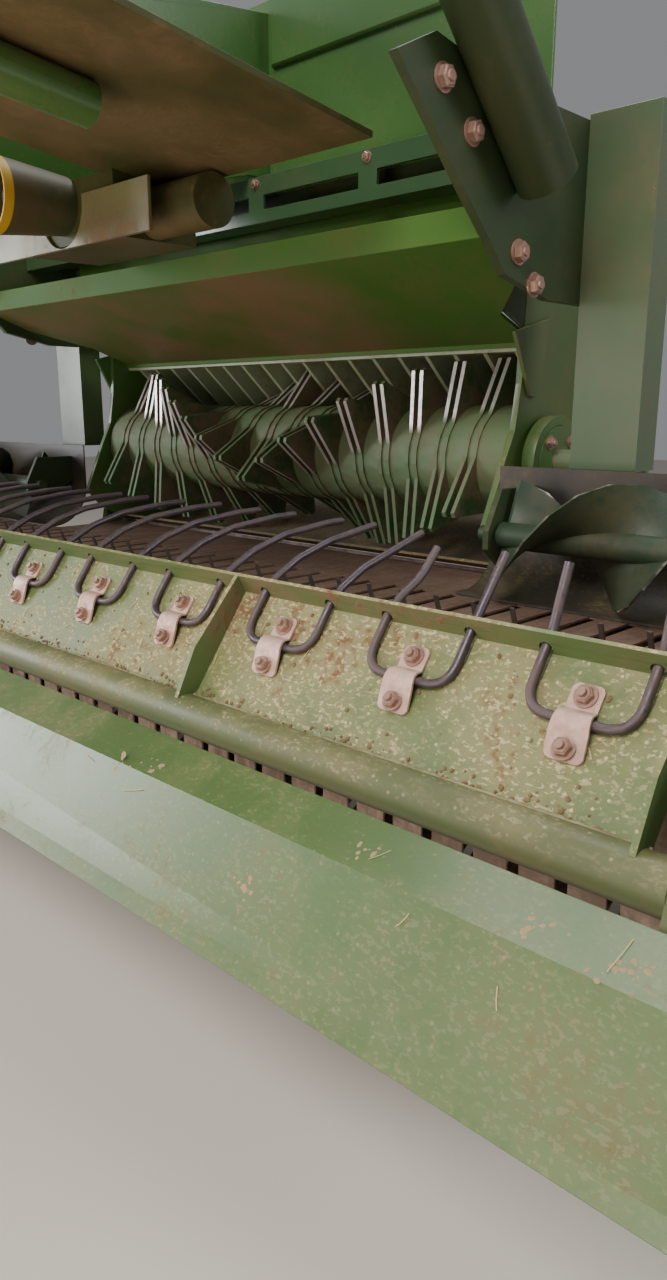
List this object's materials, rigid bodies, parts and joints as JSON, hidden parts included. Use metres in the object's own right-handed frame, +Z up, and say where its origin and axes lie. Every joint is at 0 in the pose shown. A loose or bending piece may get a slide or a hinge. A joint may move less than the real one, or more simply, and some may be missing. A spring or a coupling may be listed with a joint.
{
  "type": "round baler pickup and feed intake unit",
  "caption": "Front intake section of a round baler: tined pickup with stripper bands, crop guard, cross augers, star-plate feed rotor, scrapers and the front frame that carries them.",
  "frame": {"origin": "middle of the bolted rear faces of the side plates", "axes": "+X to the machine's right as seen in the picture, +Y to the rear (the way the crop moves), +Z up"},
  "size_m": [2.79, 1.3935, 1.4596],
  "materials": {
    "green_paint": "gloss farm paint, dusty",
    "worn_steel": "polished by crop",
    "band_steel": "worn, dusty",
    "dark_steel": "dark oiled",
    "rod_steel": "dark, rubbed bright",
    "zinc": "zinc plated",
    "cream_paint": "satin paint",
    "yellow_plastic": "matte",
    "tyre_rubber": "matte"
  },
  "bodies": {
    "chassis": {"side_plate_right": "green_paint", "side_plate_left": "green_paint", "rotor_bearings": "green_paint", "feed_floor": "green_paint", "scraper_comb": "green_paint", "cross_panel": "green_paint", "lip_gussets": "green_paint", "slotted_beam": "green_paint", "front_wall": "green_paint", "cross_member": "green_paint", "frame_post_right": "green_paint", "frame_post_left": "green_paint", "stay_right": "green_paint", "stay_left": "green_paint", "tongue_floor": "green_paint", "tongue_cheek_right": "green_paint", "tongue_cheek_left": "green_paint", "tongue_tube": "green_paint", "gearbox": "green_paint", "input_shaft": "dark_steel", "bell_guard": "yellow_plastic", "gearbox_guard": "cream_paint"},
    "rotor": {"rotor": "worn_steel"},
    "pickup": {"stripper_bands": "band_steel", "pickup_side_right": "green_paint", "pickup_side_left": "green_paint", "auger_trough_right": "green_paint", "auger_trough_left": "green_paint", "auger_arms": "green_paint", "hinge_arm_right": "green_paint", "hinge_arm_left": "green_paint"},
    "reel": {"reel": "dark_steel", "reel_tines": "dark_steel"},
    "auger_right": {"auger_right": "green_paint"},
    "auger_left": {"auger_left": "green_paint"},
    "crop_guard": {"guard_plate": "green_paint", "guard_tube": "green_paint", "guard_rods": "rod_steel", "rod_clamps": "zinc", "guard_arm_right": "green_paint", "guard_arm_left": "green_paint", "apron": "green_paint"},
    "wheel_right": {"tyre_right": "tyre_rubber", "rim_right": "cream_paint"},
    "wheel_left": {"tyre_left": "tyre_rubber", "rim_left": "cream_paint"}
  },
  "joints": [
    {"name": "rotor_spin", "type": "hinge", "parent": "chassis", "child": "rotor", "pos_m": [0, -0.258, -0.088], "axis": [1, 0, 0], "continuous": true},
    {"name": "pickup_lift", "type": "hinge", "parent": "chassis", "child": "pickup", "pos_m": [0, -0.258, -0.088], "axis": [-1, 0, 0], "range_deg": [-3, 20]},
    {"name": "reel_spin", "type": "hinge", "parent": "pickup", "child": "reel", "pos_m": [0, -0.69, -0.485], "axis": [-1, 0, 0], "continuous": true},
    {"name": "auger_right_spin", "type": "hinge", "parent": "pickup", "child": "auger_right", "pos_m": [0, -0.51, -0.184], "axis": [1, 0, 0], "continuous": true},
    {"name": "auger_left_spin", "type": "hinge", "parent": "pickup", "child": "auger_left", "pos_m": [0, -0.51, -0.184], "axis": [1, 0, 0], "continuous": true},
    {"name": "guard_lift", "type": "hinge", "parent": "pickup", "child": "crop_guard", "pos_m": [0, -0.65, -0.262], "axis": [-1, 0, 0], "range_deg": [-5, 35]},
    {"name": "wheel_right_spin", "type": "hinge", "parent": "pickup", "child": "wheel_right", "pos_m": [0, -0.5, -0.54], "axis": [1, 0, 0], "continuous": true},
    {"name": "wheel_left_spin", "type": "hinge", "parent": "pickup", "child": "wheel_left", "pos_m": [0, -0.5, -0.54], "axis": [1, 0, 0], "continuous": true}
  ]
}
